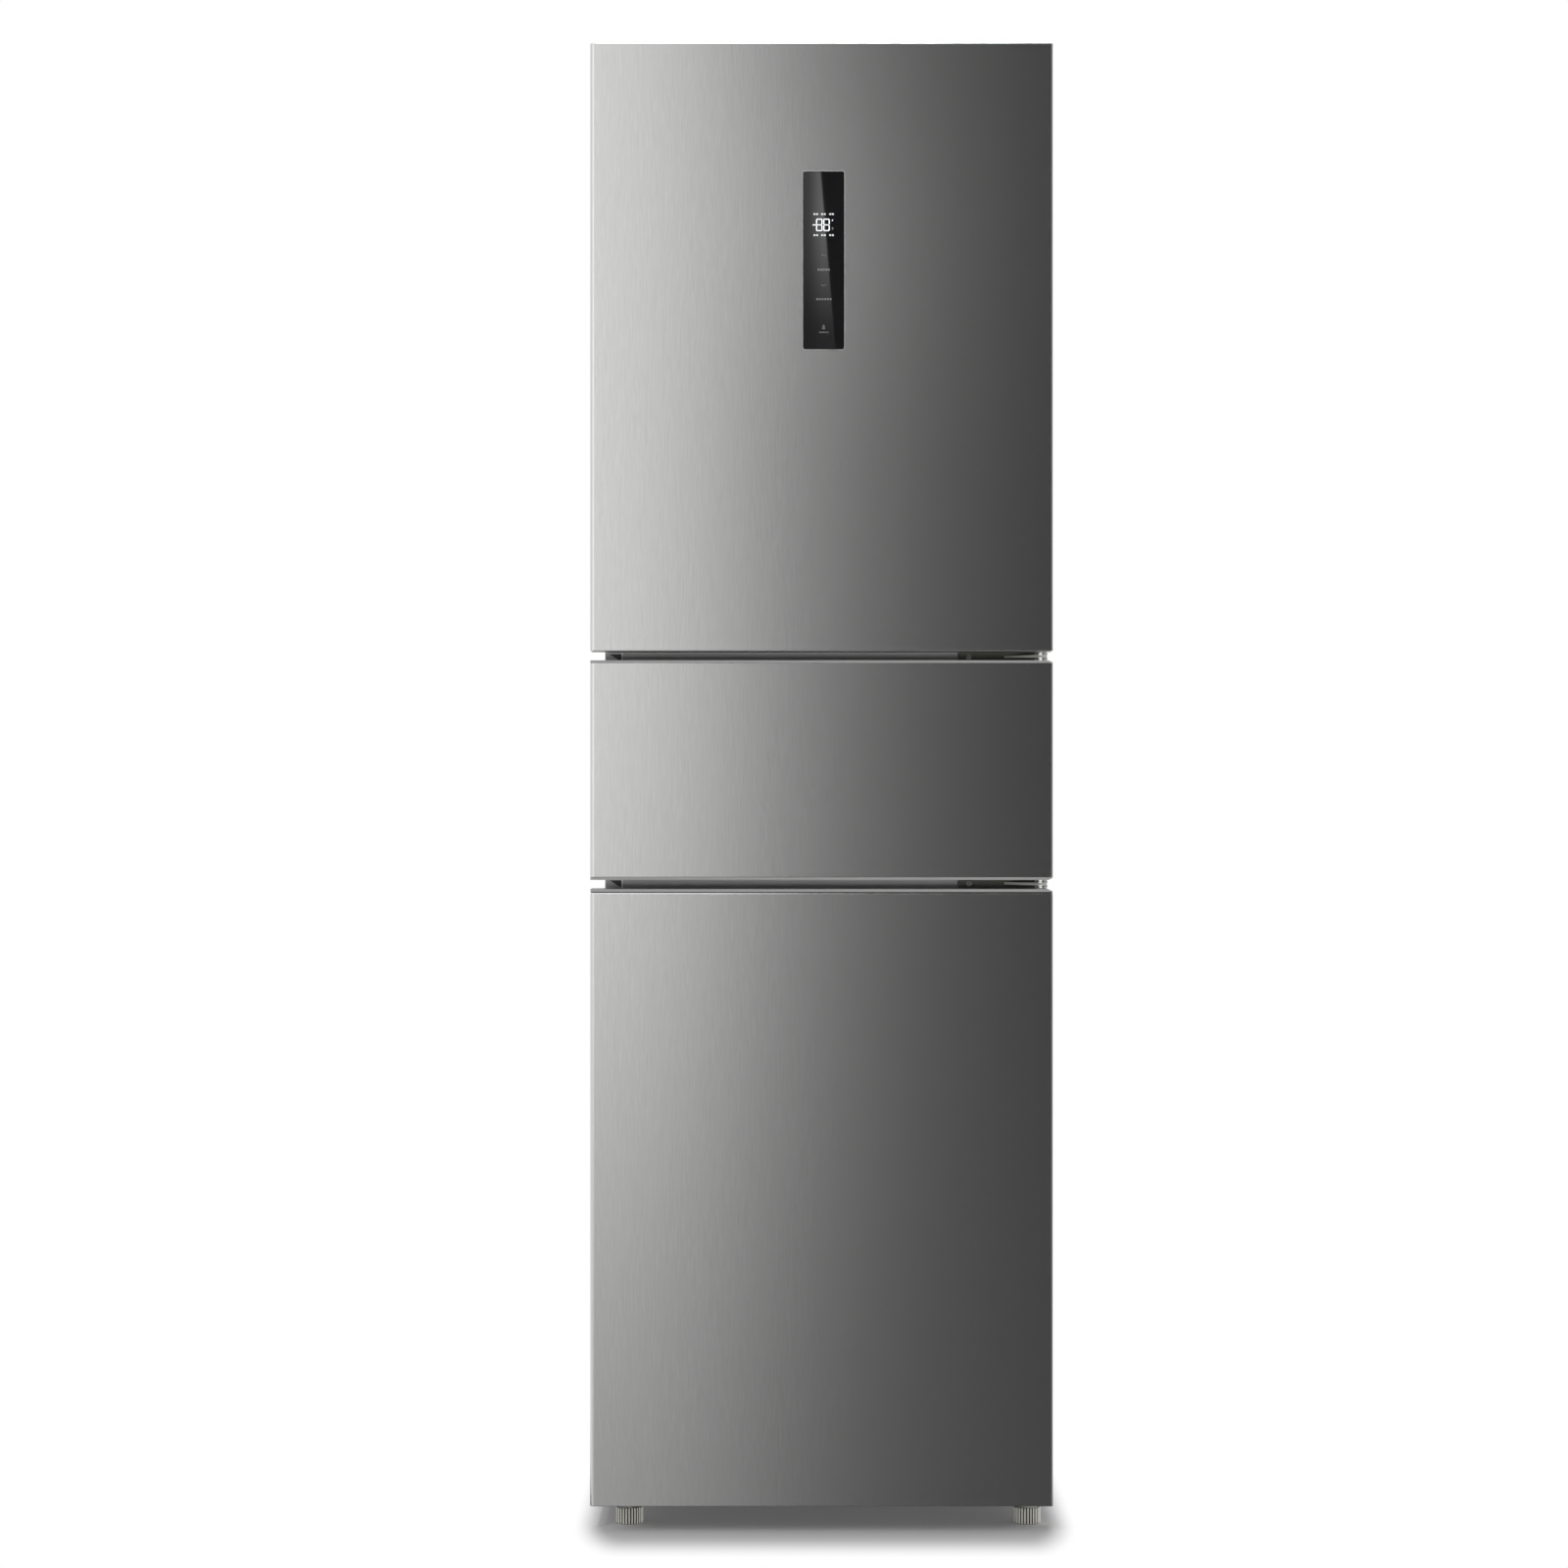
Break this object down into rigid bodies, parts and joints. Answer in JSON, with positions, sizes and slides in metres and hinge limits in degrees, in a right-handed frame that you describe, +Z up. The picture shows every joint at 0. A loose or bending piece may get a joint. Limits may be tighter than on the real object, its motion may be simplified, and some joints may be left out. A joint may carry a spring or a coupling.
{
  "type": "three-door refrigerator",
  "caption": "Tall narrow refrigerator with stacked right-hung doors in brushed dark silver, a black display strip, side grips, glass shelves, clear drawers and round levelling feet.",
  "frame": {"origin": "on the floor under the middle of the whole", "axes": "+X to the right as seen from the front, +Y to the back, +Z up"},
  "size_m": [0.55, 0.571, 1.783],
  "materials": {
    "steel_front": "satin",
    "cabinet_paint": "satin",
    "zinc_sheet": "satin",
    "hinge_steel": "satin",
    "bright_steel": "polished",
    "liner_white": "gloss",
    "cap_grey": "satin",
    "grip_grey": "satin",
    "seal_grey": "matte",
    "foam_cream": "matte",
    "clear_glass": "gloss",
    "clear_plastic": "gloss",
    "trim_grey": "gloss",
    "lamp_white": "gloss",
    "black_glass": "gloss",
    "bezel_grey": "gloss",
    "board_green": "satin",
    "compressor_black": "satin",
    "mount_rubber": "matte",
    "coil_aluminium": "satin",
    "tray_black": "satin",
    "foot_grey": "satin",
    "roller_black": "satin"
  },
  "bodies": {
    "cabinet": {"left_side_panel": "cabinet_paint", "right_side_panel": "cabinet_paint", "top_panel": "cabinet_paint", "rear_panel": "zinc_sheet", "base_plate": "zinc_sheet", "front_beams": "cabinet_paint", "cabinet_foam": "foam_cream", "fridge_liner": "liner_white", "middle_liner": "liner_white", "freezer_liner": "liner_white", "top_hinge": "hinge_steel", "upper_middle_hinge": "hinge_steel", "lower_middle_hinge": "hinge_steel", "bottom_hinge": "hinge_steel", "hinge_cover": "cap_grey", "compressor": "compressor_black", "compressor_grommets": "mount_rubber", "drip_tray": "tray_black", "compressor_cover": "zinc_sheet", "fridge_shelves": "clear_glass", "shelf_trims": "trim_grey", "duct_cover": "liner_white", "lamp_cover": "lamp_white", "freezer_back_panel": "liner_white", "evaporator": "coil_aluminium", "crisper_drawer": "clear_plastic", "middle_drawer": "clear_plastic", "freezer_drawer_upper": "clear_plastic", "freezer_drawer_middle": "clear_plastic", "freezer_drawer_lower": "clear_plastic"},
    "upper_door": {"upper_door_skin": "steel_front", "upper_door_end_caps": "cap_grey", "upper_door_grip": "grip_grey", "upper_door_foam": "foam_cream", "upper_door_liner": "liner_white", "upper_door_gasket": "seal_grey", "door_bins": "clear_plastic", "display_housing": "bezel_grey", "display_glass": "black_glass", "display_board": "board_green"},
    "middle_door": {"middle_door_skin": "steel_front", "middle_door_end_caps": "cap_grey", "middle_door_grip": "grip_grey", "middle_door_foam": "foam_cream", "middle_door_liner": "liner_white", "middle_door_gasket": "seal_grey"},
    "lower_door": {"lower_door_skin": "steel_front", "lower_door_end_caps": "cap_grey", "lower_door_grip": "grip_grey", "lower_door_foam": "foam_cream", "lower_door_liner": "liner_white", "lower_door_gasket": "seal_grey"},
    "left_foot_body": {"left_foot": "foot_grey"},
    "right_foot_body": {"right_foot": "foot_grey"},
    "left_roller_body": {"left_roller": "roller_black"},
    "right_roller_body": {"right_roller": "roller_black"}
  },
  "joints": [
    {"name": "upper_door_hinge", "type": "hinge", "parent": "cabinet", "child": "upper_door", "pos_m": [0.264, -0.2555, 1.048], "axis": [0, 0, 1], "range_deg": [0, 130]},
    {"name": "middle_door_hinge", "type": "hinge", "parent": "cabinet", "child": "middle_door", "pos_m": [0.264, -0.2555, 0.776], "axis": [0, 0, 1], "range_deg": [0, 130]},
    {"name": "lower_door_hinge", "type": "hinge", "parent": "cabinet", "child": "lower_door", "pos_m": [0.264, -0.2555, 0.032], "axis": [0, 0, 1], "range_deg": [0, 130]},
    {"name": "left_foot_turn", "type": "hinge", "parent": "cabinet", "child": "left_foot_body", "pos_m": [-0.231, -0.2175, 0], "axis": [0, 0, 1], "continuous": true},
    {"name": "right_foot_turn", "type": "hinge", "parent": "cabinet", "child": "right_foot_body", "pos_m": [0.248, -0.2175, 0], "axis": [0, 0, 1], "continuous": true},
    {"name": "left_roller_spin", "type": "hinge", "parent": "cabinet", "child": "left_roller_body", "pos_m": [-0.205, 0.2355, 0.016], "axis": [1, 0, 0], "continuous": true},
    {"name": "right_roller_spin", "type": "hinge", "parent": "cabinet", "child": "right_roller_body", "pos_m": [0.205, 0.2355, 0.016], "axis": [1, 0, 0], "continuous": true}
  ]
}
